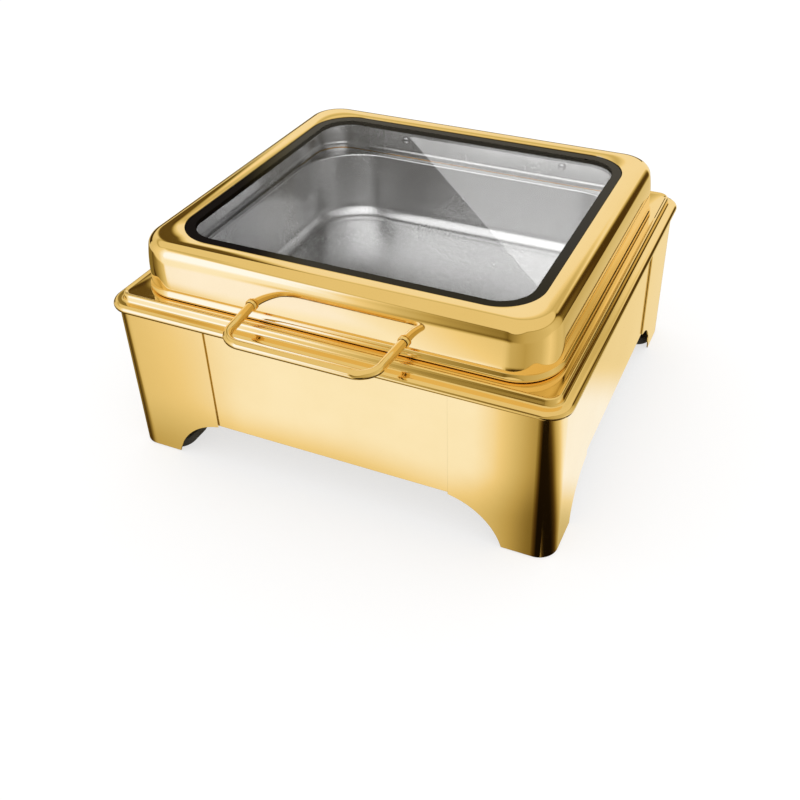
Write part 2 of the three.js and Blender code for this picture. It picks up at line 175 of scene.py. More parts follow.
# A dim joint runs round between the skirt's level and the upper tent, and a second one leans
# across the front under the amber ceiling.
ahead = (azimuth + 124).ease(0, 5) * (1 - (azimuth + 100).ease(0, 12))
joint = 1 - ahead * 0.4 * (elevation + 19).ease(0, 1.6) * (1 - (elevation + 16.5).ease(0, 2.5))
brightness = low.blend(middle, (elevation + 36.5).ease(-1.5, 1.5))
brightness = brightness.blend(upper, (elevation + 17).ease(-1, 1)) * joint
in_front = (azimuth + 165).ease(0, 20) * (1 - (azimuth + 100).ease(0, 50))
seam_height = 34 - in_front * (10 + (azimuth + 115) * 0.75)
over_seam = elevation - seam_height
ceiling = brightness.blend(0.66, over_seam.ease(-1.5, 3))
under_seam = 1 - 0.4 * (1 - over_seam.maths("ABSOLUTE", over_seam).ease(0, 5))
behind = (azimuth > 92) * (azimuth < 168)
far_gap = 1 - behind * 0.9 * (elevation + 9).ease(-2, 2) * (1 - (elevation - 12).ease(-3, 3))
brightness = ceiling * under_seam * far_gap * sill
# A dark batten stands behind the dish on the left.
batten = (azimuth - 122).ease(0, 4) * (1 - (azimuth - 131).ease(0, 12))
batten_length = (elevation - 18).ease(0, 5) * (1 - (elevation - 33).ease(0, 5))
brightness = brightness * (1 - batten * 0.85 * batten_length)
warm_light = brightness.take("ShaderNodeValToRGB", 0, {"stops": [
    (0, (.003, .002, .001)), (.1, (.08, .043, .008)), (.2, (.23, .16, .036)),
    (.36, (.51, .39, .14)), (.55, (.69, .57, .28)), (.76, (.90, .75, .43)), (1, (1, 1, 1))]},
    {0: brightness})

# Two white lamps stand ahead on the left, one over the other.
lamp = (azimuth + 134).ease(0, 6) * (1 - (azimuth + 117).ease(-2.5, 2))
high_lamp = lamp * (elevation + 13).ease(0, 3) * (1 - (over_seam + 3).ease(-3, 1.5))
low_lamp = lamp * (elevation + 34).ease(0, 8) * (1 - (elevation + 17).ease(-1, 1))
for place_lit, colour in ((high_lamp, (1.05, 1.2, 1.7, 1)), (low_lamp, (1.02, 1.06, 1.3, 1))):
    warm_light = tent.take("ShaderNodeMix", "Result", {"data_type": "RGBA"}, {
        "Factor": place_lit, "A": warm_light, "B": colour})

# Through the window the steel sees a neutral light, strongest over the front. A big soft panel
# behind the dish is mirrored in the pane as a pale glare with a straight slanting edge.
glare_edge = Vector((.5869, .5543, -.5901))
past_edge = heading_x * glare_edge.x + heading_y * glare_edge.y + heading_z * glare_edge.z
in_pane = (elevation > 20) * (elevation < 52) * (azimuth > 85) * (azimuth < 140)
glare = past_edge.ease(-0.0008, 0.0008) * (1 - past_edge.ease(0, 0.35) * 0.4)
overhead = (heading_z * 0.75 - heading_y * 0.62 - heading_x * 0.2).ease(0.45, 0.98)
inner_light = 0.42 + 0.4 * (heading_x * 0.8 - heading_y * 0.3).ease(-0.6, 0.8) + overhead * 1.2
inner_light = inner_light.blend(glare * 2.7 + 0.02, in_pane)
paths = tent.node("ShaderNodeLightPath")
glossy, through = (Flow(tent.tree, paths.outputs[name]) for name in ("Is Glossy Ray", "Transparent Depth"))
inside = through > 0.5
seen_in_metal = tent.take("ShaderNodeMix", "Result", {"data_type": "RGBA"}, {
    "Factor": inside, "A": warm_light, "B": (1, 1, 1, 1)})
even = (1.08, 1.08, 1.09, 1)
seen = tent.take("ShaderNodeMix", "Result", {"data_type": "RGBA"}, {
    "Factor": glossy, "A": even, "B": seen_in_metal})
power = 1 + glossy * inside * (inner_light - 1)
light = tent.node("ShaderNodeBackground", None, {"Color": seen, "Strength": power})
surface = tent.node("ShaderNodeOutputWorld")
tent.tree.links.new(light.outputs[0], surface.inputs["Surface"])

floor_mesh = bpy.data.meshes.new("floor")
floor_reach = 30
floor_corners = ((-1, -1), (1, -1), (1, 1), (-1, 1))
floor_mesh.from_pydata([(x * floor_reach, y * floor_reach, 0) for x, y in floor_corners], [], [(0, 1, 2, 3)])
floor = bpy.data.objects.new("floor", floor_mesh)
bpy.context.scene.collection.objects.link(floor)
floor.visible_glossy = False


def finish(name):
    """A new material as (material, Flow on its tree, its Principled node, the piece's own position)."""
    made = bpy.data.materials.new(name)
    made.use_nodes = True
    flow = Flow(made.node_tree)
    place = flow.take("ShaderNodeTexCoord", "Object")
    return made, flow, made.node_tree.nodes["Principled BSDF"], place


def feed(flow, node, **values):
    for name, value in values.items():
        socket = node.inputs[name.replace("_", " ")]
        if isinstance(value, Flow):
            flow.tree.links.new(value.socket, socket)
        else:
            socket.default_value = value


paper, flow, shader, place = finish("studio_floor")
feed(flow, shader, Base_Color=(.36, .36, .36, 1), Roughness=1.0, Specular_IOR_Level=0.0,
     Emission_Color=(1, 1, 1, 1), Emission_Strength=0.66)
floor_mesh.materials.append(paper)

# Corner legs: stainless sheet with a polished gold coating, bent round each corner of the body.
# An arch under each wing leaves a foot, and the top edge tucks up under the deck's rolled rim.
sheet = 1.2 * MM
footing = 1 * MM                     # the sheet ends this far above the ground
corner_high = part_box("leg_rear_right")[1]
front_low, front_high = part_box("leg_front_right")
face_x, centre_y = corner_high.x, (corner_high.y + front_low.y) / 2
face_y = corner_high.y - centre_y
corner_radius = 17.4 * MM
seam_x, seam_y = front_low.x, centre_y - front_high.y
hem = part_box("panel_front")[0].z
skirt_top = corner_high.z
foot_x, foot_y = 45.4 * MM, 50.9 * MM          # widths of the foot along the front and the side
crown_x, crown_y = 60.5 * MM, 49.5 * MM        # from the foot's inner edge to the top of the arch
edge_round = 0.3 * MM

gold, flow, shader, place = finish("polished_gold_steel")
smears = flow.take("ShaderNodeTexNoise", "Fac", None, {
    "Vector": place, "Scale": 9.0, "Detail": 4.0, "Roughness": 0.6})
grain = flow.take("ShaderNodeTexNoise", "Fac", None, {
    "Vector": place, "Scale": 260.0, "Detail": 3.0, "Roughness": 0.6})
press_waves = flow.take("ShaderNodeTexNoise", "Fac", None, {
    "Vector": place, "Scale": 7.0, "Detail": 1.0, "Roughness": 0.4})
tone = flow.take("ShaderNodeMix", "Result", {"data_type": "RGBA"}, {
    "Factor": smears.ease(0.3, 0.75), "A": (.985, .805, .475, 1), "B": (.96, .77, .43, 1)})
waviness = flow.take("ShaderNodeBump", "Normal", None, {
    "Height": press_waves + grain * 0.0006, "Strength": 0.06, "Distance": 0.004})
feed(flow, shader, Base_Color=tone, Metallic=1.0,
     Roughness=0.035 + smears.ease(0.35, 0.8) * 0.03 + grain * 0.012, Normal=waviness)


def piece(name, mesh, body, slot, *nodes):
    """Names a finished mesh object, hangs it under its body and hides the CAD nodes that it stands for; the
    slot is not used.
    """
    made = mesh if isinstance(mesh, bpy.types.Object) else bpy.data.objects.new(name, mesh)
    made.name = made.data.name = name
    if made.name not in bpy.context.scene.collection.objects:
        bpy.context.scene.collection.objects.link(made)
    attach(made, body)
    if nodes:
        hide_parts(*nodes)
    return made


def shade(mesh):
    for face in mesh.polygons:
        face.use_smooth = True


def bent_sheet(name, columns, top, material):
    """A sheet standing on the columns (x, y, low), whose outer face is on the right of their run."""
    rows = 6
    points, faces = [], []
    for x, y, low in columns:
        inner = (low + sheet, top - sheet)
        heights = [low] + [inner[0] + (inner[1] - inner[0]) * i / (rows - 3) for i in range(rows - 2)] + [top]
        points += [(x, y, z) for z in heights]
    for c in range(len(columns) - 1):
        for r in range(rows - 1):
            a = c * rows + r
            faces.append((a, a + rows, a + rows + 1, a + 1))
    mesh = bpy.data.meshes.new(name)
    mesh.from_pydata(points, [], faces)
    shade(mesh)
    mesh.materials.append(material)
    made = bpy.data.objects.new(name, mesh)
    bpy.context.scene.collection.objects.link(made)
    wall = made.modifiers.new("wall", "SOLIDIFY")
    wall.thickness, wall.offset, wall.use_even_offset = sheet, -1, True
    round_edge = made.modifiers.new("round_edge", "BEVEL")
    round_edge.width, round_edge.segments = edge_round, 3
    round_edge.limit_method, round_edge.angle_limit = "ANGLE", math.radians(50)
    round_edge.harden_normals = True
    return made


def arch_heights(foot_width, crown_run, half_face, seam):
    """(distance from the middle, height) along the lower edge of one wing, from its seam outwards."""
    foot_at = half_face - foot_width
    crown = foot_at - crown_run
    radius = (crown_run ** 2 + hem ** 2) / (2 * hem)
    steps = 28
    first = math.asin(max(seam - crown, 0) / radius)
    last = math.acos((footing - (hem - radius)) / radius)
    angles = [first + (last - first) * i / steps for i in range(steps + 1)]
    edge = [(crown + radius * math.sin(a), hem - radius + radius * math.cos(a)) for a in angles]
    edge[0] = (seam, edge[0][1])
    if seam < crown:
        edge.insert(1, (crown, hem))
    after = [edge[-1][0] + d for d in (0.6 * MM, 1.6 * MM)]
    return [edge[0], (edge[0][0] + edge_round * 2, edge[0][1])] + edge[1:] + [(d, footing) for d in after]


turn_steps = 28
for side, side_name in ((-1, "left"), (1, "right")):
    for end, end_name in ((-1, "front"), (1, "rear")):
        along_front = [(side * u, centre_y + end * face_y, z)
                       for u, z in arch_heights(foot_x, crown_x, face_x, seam_x)]
        along_side = [(side * face_x, centre_y + end * u, z)
                      for u, z in arch_heights(foot_y, crown_y, face_y, seam_y)]
        bend = []
        for i in range(turn_steps + 1):
            a = math.pi / 2 * i / turn_steps
            bend.append((side * (face_x - corner_radius + corner_radius * math.sin(a)),
                         centre_y + end * (face_y - corner_radius + corner_radius * math.cos(a)), footing))
        lead = 2 * MM
        bend = ([(bend[0][0] - side * lead, bend[0][1], footing)] + bend
                + [(bend[-1][0], bend[-1][1] - end * lead, footing)])
        columns = along_front + bend + along_side[::-1]
        if side * end > 0:
            columns.reverse()
        leg_name = f"leg_{end_name}_{side_name}"
        made = bent_sheet(leg_name, columns, skirt_top, gold)
        piece(f"corner_{leg_name}", made, "body", "gold_steel", leg_name)

# Skirt panels: one flat gold sheet on each side of the body, lapped behind the legs' sheets and
# spot-welded there, so that the step at each seam shows as a fine line.
lap, step_back = 12 * MM, 1.5 * MM
for name, half, face, along_y, flip in (
        ("front", seam_x, face_y, False, -1), ("rear", seam_x, face_y, False, 1),
        ("left", seam_y, face_x, True, -1), ("right", seam_y, face_x, True, 1)):
    columns = []
    for u in (-half - lap, -half, -half / 3, half / 3, half, half + lap):
        v = flip * (face - step_back)
        x, y = (v, u) if along_y else (u, v)
        columns.append((x, centre_y + y, hem))
    if (flip > 0) != along_y:
        columns.reverse()
    made = bent_sheet(f"panel_{name}", columns, skirt_top, gold)
    piece(f"skirt_panel_{name}", made, "body", "gold_steel", f"panel_{name}")

# Foot pads: a black rubber block pushed up into each leg. It stands on the ground and keeps the
# sheet's cut edge clear of it. Its underside has a shallow recess, so it stands on its border.
def ring_tree():
    """Geometry Nodes for a pressed or turned piece. Each point of the input mesh is one ring, a
    rectangle with rounded corners, and the rings are skinned in the points' order."""
    tree = bpy.data.node_groups.new("stacked_rings", "GeometryNodeTree")
    sockets = {"Rings": ("INPUT", "NodeSocketGeometry"), "Corner Steps": ("INPUT", "NodeSocketInt"),
               "Run In": ("INPUT", "NodeSocketFloat"), "Crease": ("INPUT", "NodeSocketFloat"),
               "Material": ("INPUT", "NodeSocketMaterial"), "Shell": ("OUTPUT", "NodeSocketGeometry")}
    keys = {}
    for label, (way, kind) in sockets.items():
        keys[label] = tree.interface.new_socket(label, in_out=way, socket_type=kind).identifier
    flow = Flow(tree)
    given = flow.node("NodeGroupInput")
    rings, steps, run_in, crease, material = (Flow(tree, given.outputs[i]) for i in range(5))
    count = flow.take("GeometryNodeAttributeDomainSize", "Point Count", None, {0: rings})
    per_corner = steps + 3
    columns = per_corner * 4
    grid = flow.node("GeometryNodeMeshGrid", None, {
        "Size X": 1.0, "Size Y": 1.0, "Vertices X": count, "Vertices Y": columns + 1})
    index = flow.take("GeometryNodeInputIndex", 0)
    ring = (index / (columns + 1)).maths("FLOOR", index / (columns + 1))
    column = index - ring * (columns + 1)
    corner = (column / per_corner).maths("FLOOR", column / per_corner)
    place_in_corner = column - corner * per_corner

    def of_ring(name):
        value = flow.take("GeometryNodeInputNamedAttribute", "Attribute", {"data_type": "FLOAT"}, {
            "Name": name})
        return flow.take("GeometryNodeSampleIndex", "Value", {"data_type": "FLOAT", "domain": "POINT"}, {
            "Geometry": rings, "Value": value, "Index": ring})

    half_x, half_y, radius, height, middle_x, middle_y = (of_ring(n) for n in (
        "half_x", "half_y", "radius", "height", "middle_x", "middle_y"))
    share = (place_in_corner - 1) / steps
    share = share.maths("MINIMUM", share.maths("MAXIMUM", share, 0), 1)
    quarter = math.pi / 2
    angle = (corner + share) * quarter
    diagonal = (corner + 0.5) * quarter
    cosine, sine = angle.maths("COSINE", angle), angle.maths("SINE", angle)
    side_x = diagonal.maths("SIGN", diagonal.maths("COSINE", diagonal))
    side_y = diagonal.maths("SIGN", diagonal.maths("SINE", diagonal))
    straight = half_x.maths("MINIMUM", half_x - radius, half_y - radius)
    reach = run_in.maths("MINIMUM", run_in, straight)
    slide = ((place_in_corner > steps + 1.5) - (place_in_corner < 0.5)) * reach
    x = middle_x + side_x * (half_x - radius) + cosine * radius - sine * slide
    y = middle_y + side_y * (half_y - radius) + sine * radius + cosine * slide
    spot = flow.take("ShaderNodeCombineXYZ", 0, None, {0: x, 1: y, 2: height})
    skin = flow.take("GeometryNodeSetPosition", 0, None, {
        "Geometry": Flow(tree, grid.outputs["Mesh"]), "Position": spot})
    skin = flow.take("GeometryNodeMergeByDistance", 0, None, {"Geometry": skin, "Distance": 4e-6})
    bent = flow.take("GeometryNodeInputMeshEdgeAngle", "Unsigned Angle")
    skin = flow.take("GeometryNodeSetShadeSmooth", 0, {"domain": "FACE"}, {
        "Geometry": skin, "Shade Smooth": True})
    skin = flow.take("GeometryNodeSetShadeSmooth", 0, {"domain": "EDGE"}, {
        "Geometry": skin, "Selection": bent > crease, "Shade Smooth": False})
    skin = flow.take("GeometryNodeRealizeInstances", 0, None, {"Geometry": skin})
    skin = flow.take("GeometryNodeSetMaterial", 0, None, {"Geometry": skin, "Material": material})
    leaving = flow.node("NodeGroupOutput")
    tree.links.new(skin.socket, leaving.inputs[0])
    return tree, keys


ring_nodes, ring_keys = ring_tree()


def grown(source, tree, settings):
    """The result of a node tree on an object, as a plain mesh whose faces point outwards."""
    modifier = source.modifiers.new("nodes", "NODES")
    modifier.node_group = tree
    for key, value in settings.items():
        modifier[key] = value
    bpy.context.view_layer.update()
    depsgraph = bpy.context.evaluated_depsgraph_get()
    mesh = bpy.data.meshes.new_from_object(source.evaluated_get(depsgraph), depsgraph=depsgraph)
    bpy.data.objects.remove(source)
    volume = sum(t.area * (t.center @ t.normal) for t in mesh.polygons)
    if volume < 0:
        mesh.flip_normals()
    return mesh


def ring_shell(rings, material, steps=24, run_in=3 * MM, crease=34, placed=None):
    """A closed shell through rings of (half x, half y, corner radius, height, middle x, middle y)."""
    mesh = bpy.data.meshes.new("rings")
    mesh.from_pydata([(0, 0, i * MM) for i in range(len(rings))], [], [])
    for k, label in enumerate(("half_x", "half_y", "radius", "height", "middle_x", "middle_y")):
        mesh.attributes.new(label, "FLOAT", "POINT").data.foreach_set("value", [r[k] for r in rings])
    source = bpy.data.objects.new("rings", mesh)
    bpy.context.scene.collection.objects.link(source)
    made = grown(source, ring_nodes, {
        ring_keys["Corner Steps"]: steps, ring_keys["Run In"]: run_in,
        ring_keys["Crease"]: math.radians(crease), ring_keys["Material"]: material})
    if placed:
        made.transform(placed)
    return made


def bow(inset, z, radius, first, last, steps):
    """An arc as (inset, height) from one angle to another, in degrees; 0 degrees faces outwards."""
    angles = [math.radians(first + (last - first) * i / steps) for i in range(steps + 1)]
    return [(inset - radius * math.cos(a), z + radius * math.sin(a)) for a in angles]


def held(profile, reach=0.7 * MM, least=3 * MM):
    """A profile with an extra point near both ends of each long straight, so that it stays flat."""
    kept = []
    for (u0, z0), (u1, z1) in zip(profile, profile[1:]):
        kept.append((u0, z0))
        length = math.hypot(u1 - u0, z1 - z0)
        if length > least:
            for along in (reach / length, 1 - reach / length):
                kept.append((u0 + (u1 - u0) * along, z0 + (z1 - z0) * along))
    return kept + [profile[-1]]


def around(profile, half_x, half_y, radius, middle_y, middle_x=0, least_radius=0.5 * MM):
    """Rings that follow an outline at the (inset, height) points of a profile."""
    return [(half_x - u, half_y - u, max(radius - u, least_radius), z, middle_x, middle_y)
            for u, z in profile]


rubber, flow, shader, place = finish("black_rubber")
speckle = flow.take("ShaderNodeTexNoise", "Fac", None, {"Vector": place, "Scale": 900.0, "Detail": 3.0})
dust = flow.take("ShaderNodeTexNoise", "Fac", None, {"Vector": place, "Scale": 40.0, "Detail": 5.0})
feed(flow, shader, Roughness=0.55 + dust * 0.25, Base_Color=flow.take(
    "ShaderNodeMix", "Result", {"data_type": "RGBA"}, {
        "Factor": dust.ease(0.35, 0.75), "A": (.012, .012, .013, 1), "B": (.035, .034, .033, 1)}),
    Normal=flow.take("ShaderNodeBump", "Normal", None, {
        "Height": speckle, "Strength": 0.2, "Distance": 0.0003}))
for end_name in ("front", "rear"):
    for side_name in ("left", "right"):
        low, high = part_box(f"foot_pad_{end_name}_{side_name}")
        half, top = (high.x - low.x) / 2, high.z
        recess, border, chamfer = 2 * MM, 6 * MM, 0.8 * MM
        profile = held([(border, low.z + recess), (border, low.z + 0.3 * MM), (border - 0.3 * MM, low.z),
                        (chamfer, low.z), (0, low.z + chamfer), (0, top - chamfer), (chamfer, top)])
        rings = around(profile, half, half, 16 * MM, (low.y + high.y) / 2, (low.x + high.x) / 2)
        middle = ((low.x + high.x) / 2, (low.y + high.y) / 2)
        rings = [(0, 0, 0, low.z + recess, *middle)] + rings + [(0, 0, 0, top, *middle)]
        piece(f"rubber_foot_{end_name}_{side_name}", ring_shell(rings, rubber, steps=10), "body",
              "black_rubber", f"foot_pad_{end_name}_{side_name}")

# Deck: one pressed gold sheet that closes the top of the body. From the outside in it has a rolled
# rim that grips the skirt, a flat ledge, a step up with a small bead on its brow, and the deck
# itself with a wide mouth, where the pans hang.
deck_low, deck_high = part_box("deck_frame")
rim_x, rim_y = deck_high.x, (deck_high.y - deck_low.y) / 2
rim_radius, rim_curl, deck_sheet = 22 * MM, 4 * MM, 1 * MM
deck_top = deck_high.z - 1 * MM                # the bead stands this far above the deck
ledge_top = deck_top - 6 * MM
curl_z = ledge_top - rim_curl
water_low, water_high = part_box("water_pan")
water_y = (water_low.y + water_high.y) / 2
mouth = (water_high.x - 3.5 * MM, (water_high.y - water_low.y) / 2 - 3.5 * MM, 72 * MM)
under = [(14.4, -1), (13.4, -.8), (12.6, -.2), (11.9, -.02), (11.5, -.4), (11, -1.6), (10.3, -5), (9.8, -6.2),
         (9.2, -6.8), (8.3, -7)]
under_side = [(u * MM, deck_top + z * MM) for u, z in under]
top_side = [(u * MM, deck_top + z * MM) for u, z in (
    (8, -6), (8.5, -5.9), (9, -5.5), (9.4, -4.7), (10.1, -1), (10.4, .2), (10.8, .75), (11.4, 1), (12, 1),
    (12.6, .8), (13.2, .4), (13.8, .1), (14.6, 0))]
profile = held(under_side + bow(rim_curl, curl_z, rim_curl - deck_sheet, 90, -75, 14)
               + bow(rim_curl, curl_z, rim_curl, -78, 90, 16) + top_side)
deck_rings = around(profile, rim_x, rim_y, rim_radius, centre_y)
inner_lip = tuple(v + 0.7 * MM for v in mouth)
deck_rings = ([(*inner_lip, deck_top - deck_sheet, 0, water_y)] + deck_rings
              + [(*inner_lip, deck_top, 0, water_y), (*mouth, deck_top - 0.3 * MM, 0, water_y),
                 (*mouth, deck_top - deck_sheet, 0, water_y),
                 (*inner_lip, deck_top - deck_sheet, 0, water_y)])
piece("pressed_deck", ring_shell(deck_rings, gold, steps=28), "body", "gold_steel", "deck_frame")

# Wear strip: an assumed piece. Nothing on the dish is known to match it, and it has no solid of its
# own. It is a thin brushed steel frame on the deck under the lid that hides the gold round the mouth.
satin, flow, shader, place = finish("satin_steel")
stretched = flow.take("ShaderNodeMapping", "Vector", None, {"Vector": place, "Scale": (1.0, 1.0, 9.0)})
brush = flow.take("ShaderNodeTexNoise", "Fac", None, {
    "Vector": stretched, "Scale": 260.0, "Detail": 4.0, "Roughness": 0.7})
cloud = flow.take("ShaderNodeTexNoise", "Fac", None, {"Vector": place, "Scale": 11.0, "Detail": 2.0})
fleck = flow.take("ShaderNodeTexNoise", "Fac", None, {"Vector": place, "Scale": 900.0, "Detail": 2.0})
feed(flow, shader, Metallic=1.0, Roughness=0.2 + cloud * 0.06 + fleck * 0.06, Base_Color=flow.take(
    "ShaderNodeMix", "Result", {"data_type": "RGBA"}, {
        "Factor": (brush * 0.6 + fleck * 0.4).ease(0.35, 0.65),
        "A": (.66, .66, .66, 1), "B": (.76, .76, .76, 1)}),
    Normal=flow.take("ShaderNodeBump", "Normal", None, {
        "Height": fleck + brush * 0.5, "Strength": 0.05, "Distance": 0.0003}))
shell_low, shell_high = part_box("lid_shell")
lid_middle = (shell_low.y + shell_high.y) / 2
strip_x, strip_y, strip_radius = 188.6 * MM, 172.7 * MM, 32 * MM
strip_low, strip_high = deck_top + 0.03 * MM, deck_top + 0.18 * MM
outer_edge = (strip_x, strip_y, strip_radius)
strip_mouth = tuple(v + 0.4 * MM for v in mouth)
strip_rings = [(*strip_mouth, strip_low, 0, water_y), (*outer_edge, strip_low, 0, lid_middle),
               (*outer_edge, strip_high, 0, lid_middle), (*strip_mouth, strip_high, 0, water_y),
               (*strip_mouth, strip_low, 0, water_y)]
piece("steel_wear_strip", ring_shell(strip_rings, satin, steps=28), "body", "satin_steel")

# Water pan and food pan: deep-drawn stainless pans with a satin inside. The water pan's flat lip
# hangs on the deck, and the food pan's lip hangs on the water pan's.
def pressed_pan(node, draft, fillet, radius):
    """A pan with widely rounded walls and corners and a flat lip round its mouth."""
    low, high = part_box(node)
    wall, lip, turn = 1 * MM, 5.5 * MM, 2.2 * MM
    half_x, half_y, middle = high.x, (high.y - low.y) / 2, (low.y + high.y) / 2
    floor_z, top = low.z + wall, high.z
    foot = lip + draft
    lean = math.degrees(math.atan(draft / (top - floor_z)))
    outside = bow(foot + fillet, floor_z + fillet, fillet + wall, -90, -lean, 14)
    outside += [(lip - wall, top - wall - turn * 0.5), (lip - wall - turn * 0.4, top - wall)]
    outside += [(0.3 * MM, top - wall), (0, top - wall + 0.3 * MM), (0, top - 0.3 * MM), (0.3 * MM, top)]
    inside = [(lip - turn + turn * math.sin(a), top - turn + turn * math.cos(a))
              for a in (math.radians(90 - lean) * i / 8 for i in range(9))]
    inside += bow(foot + fillet, floor_z + fillet, fillet, -lean, -90, 18)
    rings = around(held(outside + inside), half_x, half_y, radius, middle)
    rings = [(0, 0, 0, low.z, 0, middle)] + rings + [(0, 0, 0, floor_z, 0, middle)]
    return ring_shell(rings, satin, steps=40, crease=50)


piece("drawn_water_pan", pressed_pan("water_pan", 3 * MM, 14 * MM, 75.5 * MM), "water_pan", "satin_steel",
      "water_pan")
piece("drawn_food_pan", pressed_pan("food_pan", 5 * MM, 16 * MM, 73.5 * MM), "food_pan", "satin_steel",
      "food_pan")

# Lid shell: a gold pressing with a rolled hem, a slightly bulging wall, a rounded shoulder and a
# flat top. The window is cut out of the top, with a fine rolled edge round the glass.
glass_low, glass_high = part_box("lid_glass")
lid_x, lid_y = 193.4 * MM, 177.5 * MM
lid_radius, lid_sheet, lid_top = 36.8 * MM, 1 * MM, shell_high.z
belly_z, belly_radius, shoulder = 179 * MM, 150 * MM, 11 * MM
hem_radius = 2 * MM
hem_z = deck_top + hem_radius + 0.2 * MM
window_x, window_y = glass_high.x + 0.4 * MM, (glass_high.y - glass_low.y) / 2 + 0.4 * MM
window_middle, window_radius = (glass_low.y + glass_high.y) / 2, 40.1 * MM


def belly(z):
    return belly_radius - math.sqrt(belly_radius ** 2 - (z - belly_z) ** 2)


shoulder_z = lid_top - shoulder
shoulder_inset = belly_radius - math.sqrt((belly_radius - shoulder) ** 2 - (shoulder_z - belly_z) ** 2)
lean = math.degrees(math.asin((shoulder_z - belly_z) / (belly_radius - shoulder)))
wall_steps = [172.4 + 1.5 * i for i in range(21)]
outer_wall = [(belly(z * MM), z * MM) for z in wall_steps]
inner_wall = [(u + lid_sheet, z) for u, z in reversed(outer_wall)]
profile = (bow(shoulder_inset, shoulder_z, shoulder - lid_sheet, 90, lean, 12) + inner_wall
           + bow(0.2 * MM, hem_z, hem_radius, 140, 400, 30) + outer_wall
           + bow(shoulder_inset, shoulder_z, shoulder, lean, 90, 16))
flat_edge = profile[-1][0]
profile = [(flat_edge + 0.8 * MM, lid_top - lid_sheet)] + profile + [(flat_edge + 0.8 * MM, lid_top)]
window_outline = (window_x, window_y, window_radius)
brow = tuple(v + 0.5 * MM for v in window_outline)
lid_rings = ([(*brow, lid_top - lid_sheet, 0, window_middle)]
             + around(profile, lid_x, lid_y, lid_radius, lid_middle)
             + [(*brow, lid_top, 0, window_middle),
                (*(v + 0.1 * MM for v in window_outline), lid_top - 0.15 * MM, 0, window_middle),
                (*window_outline, lid_top - 0.4 * MM, 0, window_middle),
                (*window_outline, lid_top - lid_sheet, 0, window_middle),
                (*brow, lid_top - lid_sheet, 0, window_middle)])
piece("pressed_lid", ring_shell(lid_rings, gold, steps=32, crease=40), "lid", "gold_steel", "lid_shell")

# Lid liner: a thinner satin pressing spot-welded inside the lid, whose ledge carries the glass.
liner_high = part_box("lid_liner")[1]
liner_sheet, liner_shoulder = 0.8 * MM, 8 * MM
skin = lid_sheet + 0.4 * MM
ledge_z = liner_high.z
opening = (160.5 * MM, 144 * MM, 31.7 * MM)
bend_z = ledge_z - liner_shoulder
bend_inset = belly(bend_z) + skin + liner_shoulder
foot_z = deck_top + 0.8 * MM                # its foot steps in over the hem's roll
wall_heights = [173.2 * MM + (bend_z - 174.2 * MM) * i / 14 for i in range(15)]
over_hem = 1.3 * MM
outer_wall = [(skin + over_hem, foot_z), (skin + over_hem, 171 * MM), (skin + over_hem * 0.8, 171.8 * MM)]
outer_wall += [(belly(z) + skin, z) for z in wall_heights]
inner_wall = [(u + liner_sheet, z) for u, z in reversed(outer_wall)]
profile = (bow(bend_inset, bend_z, liner_shoulder - liner_sheet, 90, 8, 8) + inner_wall + outer_wall
           + bow(bend_inset, bend_z, liner_shoulder, 8, 90, 10))
profile = ([(profile[0][0] + 0.6 * MM, ledge_z - liner_sheet)] + profile
           + [(profile[-1][0] + 0.6 * MM, ledge_z)])
liner_rings = ([(*opening, ledge_z - liner_sheet, 0, window_middle)]
               + around(profile, lid_x, lid_y, lid_radius, lid_middle)
               + [(*opening, ledge_z, 0, window_middle), (*opening, ledge_z - liner_sheet, 0, window_middle)])
piece("satin_liner", ring_shell(liner_rings, satin, steps=24, crease=50), "lid", "satin_steel", "lid_liner")

# Window: a pane of tempered glass bedded on a flat black rubber seal. Its border is printed black
# on both faces, so the seal and the ledge don't show through it.
seal_low, seal_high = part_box("glass_seal")
seal_x, seal_y = seal_high.x, (seal_high.y - seal_low.y) / 2
seal_width = 7 * MM
profile = [(seal_width, seal_low.z), (0, seal_low.z), (0, seal_high.z), (seal_width, seal_high.z),
           (seal_width, seal_low.z)]
rings = around(profile, seal_x, seal_y, window_radius - 0.8 * MM, window_middle)
piece("window_seal", ring_shell(rings, rubber, steps=16), "lid", "black_rubber", "glass_seal")

glass_x, glass_y = glass_high.x, (glass_high.y - glass_low.y) / 2
glass_radius, border = window_radius - 0.4 * MM, 9.2 * MM
pane, flow, shader, place = finish("window_glass")
feed(flow, shader, Base_Color=(.0035, .004, .006, 1), Roughness=0.05)
shader.inputs["Specular IOR Level"].default_value = 0.15
x, y, z = place.parts()
from_x = x.maths("ABSOLUTE", x) - (glass_x - glass_radius)
from_y = (y - window_middle).maths("ABSOLUTE", y - window_middle) - (glass_y - glass_radius)
past_x, past_y = from_x.maths("MAXIMUM", from_x, 0), from_y.maths("MAXIMUM", from_y, 0)
inward = from_x.maths("MAXIMUM", from_x, from_y)
edge_distance = ((past_x ** 2 + past_y ** 2) ** 0.5
                 + inward.maths("MINIMUM", inward, 0) - glass_radius)
printed = edge_distance > -border
facing = flow.take("ShaderNodeLayerWeight", "Facing", None, {"Blend": 0.5})
coated = 1 - 0.75 * (z > glass_low.z + 3 * MM)      # its outer face has a thin coating against glare
mirror = (0.04 + 0.96 * facing ** 5) * coated
wipes = flow.take("ShaderNodeTexNoise", "Fac", None, {"Vector": place, "Scale": 6.0, "Detail": 3.0})
clear = flow.node("ShaderNodeBsdfTransparent", None, {"Color": (.96, .96, .96, 1)})
gloss = flow.node("ShaderNodeBsdfGlossy", None, {"Color": (1, 1, 1, 1), "Roughness": 0.0})
sheer = flow.node("ShaderNodeMixShader", None, {
    0: mirror * (0.96 + wipes * 0.08),
    1: Flow(flow.tree, clear.outputs[0]), 2: Flow(flow.tree, gloss.outputs[0])})
